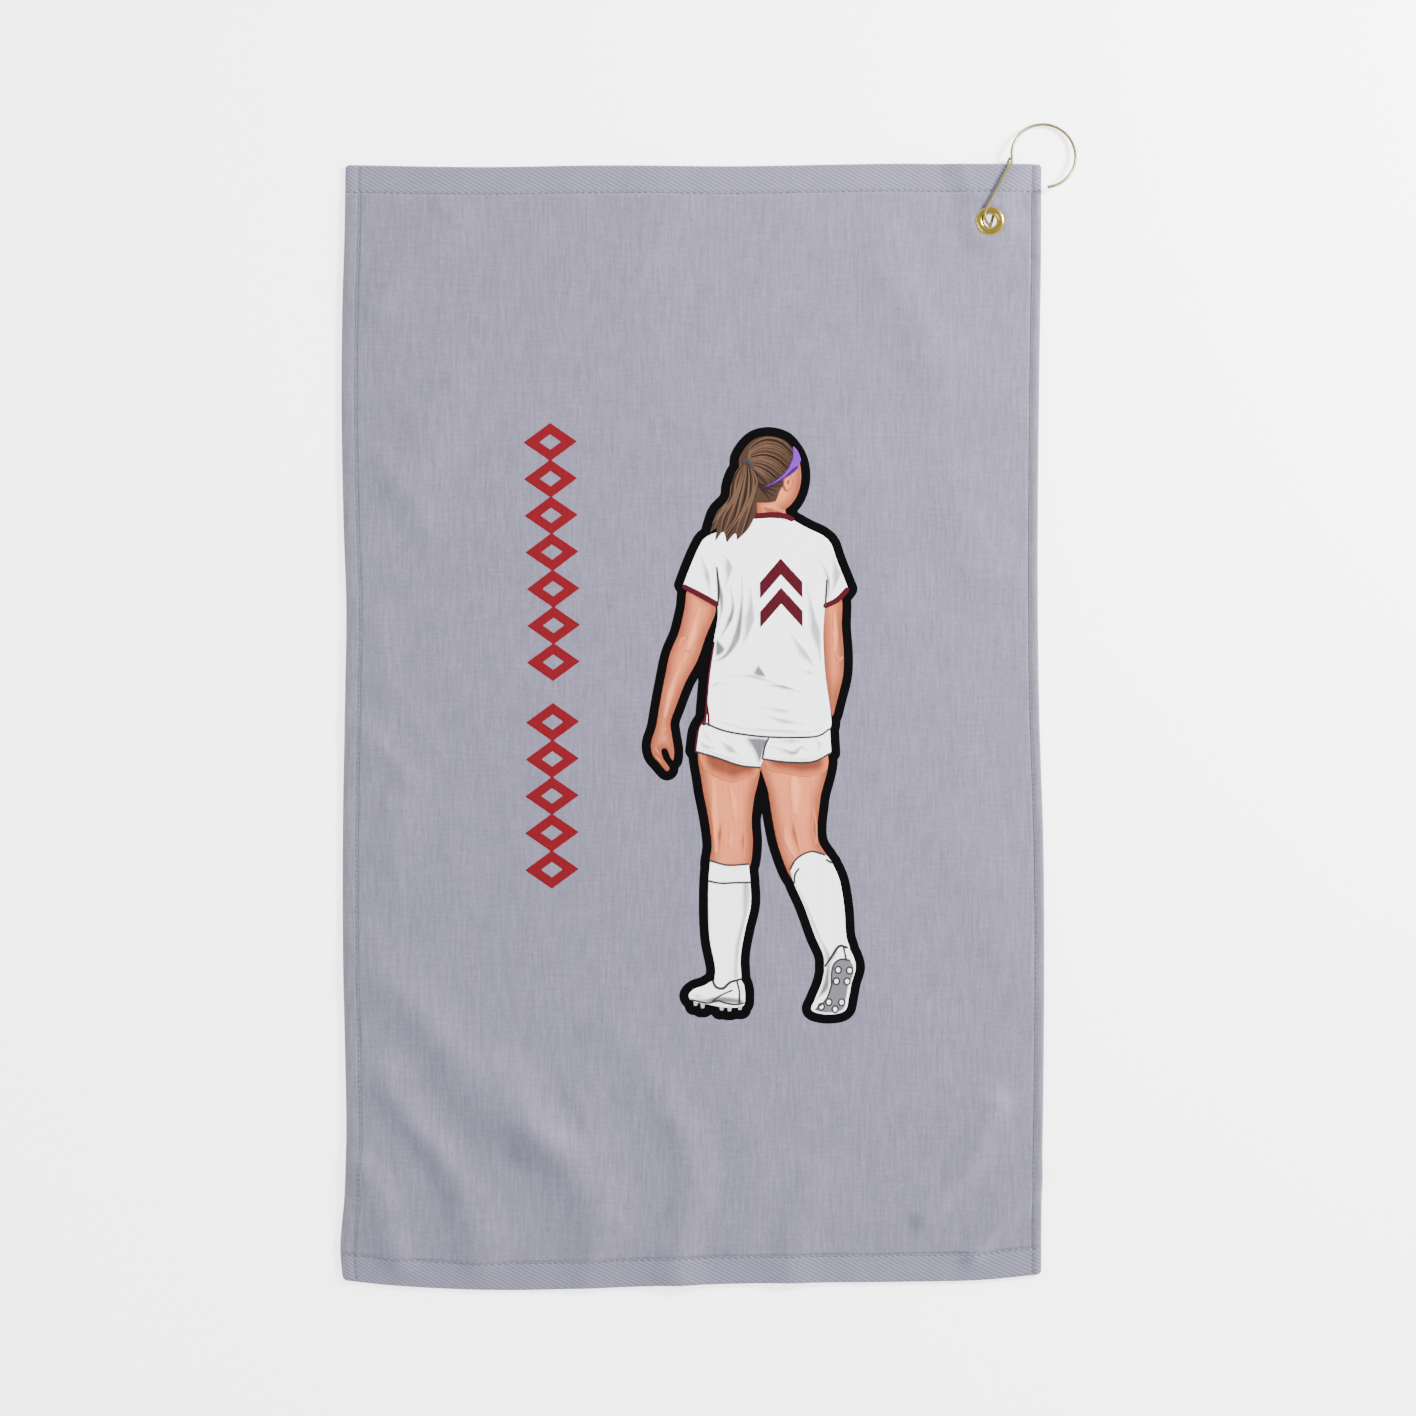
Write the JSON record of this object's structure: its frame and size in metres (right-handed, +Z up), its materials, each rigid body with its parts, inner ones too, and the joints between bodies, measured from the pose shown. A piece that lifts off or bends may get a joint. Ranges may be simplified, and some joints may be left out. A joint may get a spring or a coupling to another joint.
{
  "type": "golf towel",
  "caption": "Flat velour golf towel with folded end bands, rolled side hems, a brass corner grommet and a bent wire hook that swings in it.",
  "frame": {"origin": "bottom centre of the box round the towel and its hook, towel lying face up", "axes": "+Z up out of the printed face, +Y along the towel towards the grommet's end, +X across it towards the grommet's side"},
  "size_m": [0.4266, 0.6771, 0.009],
  "materials": {
    "velour": "matt sheared cotton velour",
    "twill_band": "matt cotton twill",
    "rolled_hem": "matt terry and velour",
    "sewing_thread": "polyester thread",
    "brass": "polished",
    "hook_wire": "pale plated wire",
    "print_black": "printed transfer",
    "print_red": "printed transfer"
  },
  "bodies": {
    "towel": {"towel_body": "velour", "top_hem": "twill_band", "bottom_hem": "twill_band", "left_hem": "rolled_hem", "right_hem": "rolled_hem", "top_needle_thread": "sewing_thread", "top_bobbin_thread": "sewing_thread", "bottom_needle_thread": "sewing_thread", "bottom_bobbin_thread": "sewing_thread", "left_needle_thread": "sewing_thread", "left_bobbin_thread": "sewing_thread", "right_needle_thread": "sewing_thread", "right_bobbin_thread": "sewing_thread", "grommet_eyelet": "brass", "grommet_washer": "brass", "figure_print": "print_black", "upper_band_print": "print_red", "lower_band_print": "print_red"},
    "hook": {"towel_hook": "hook_wire"}
  },
  "joints": [
    {"name": "hook_swing", "type": "hinge", "parent": "towel", "child": "hook", "pos_m": [0.1627, 0.28115, 0.004], "axis": [0, 0, 1], "range_deg": [-4, 38]}
  ]
}
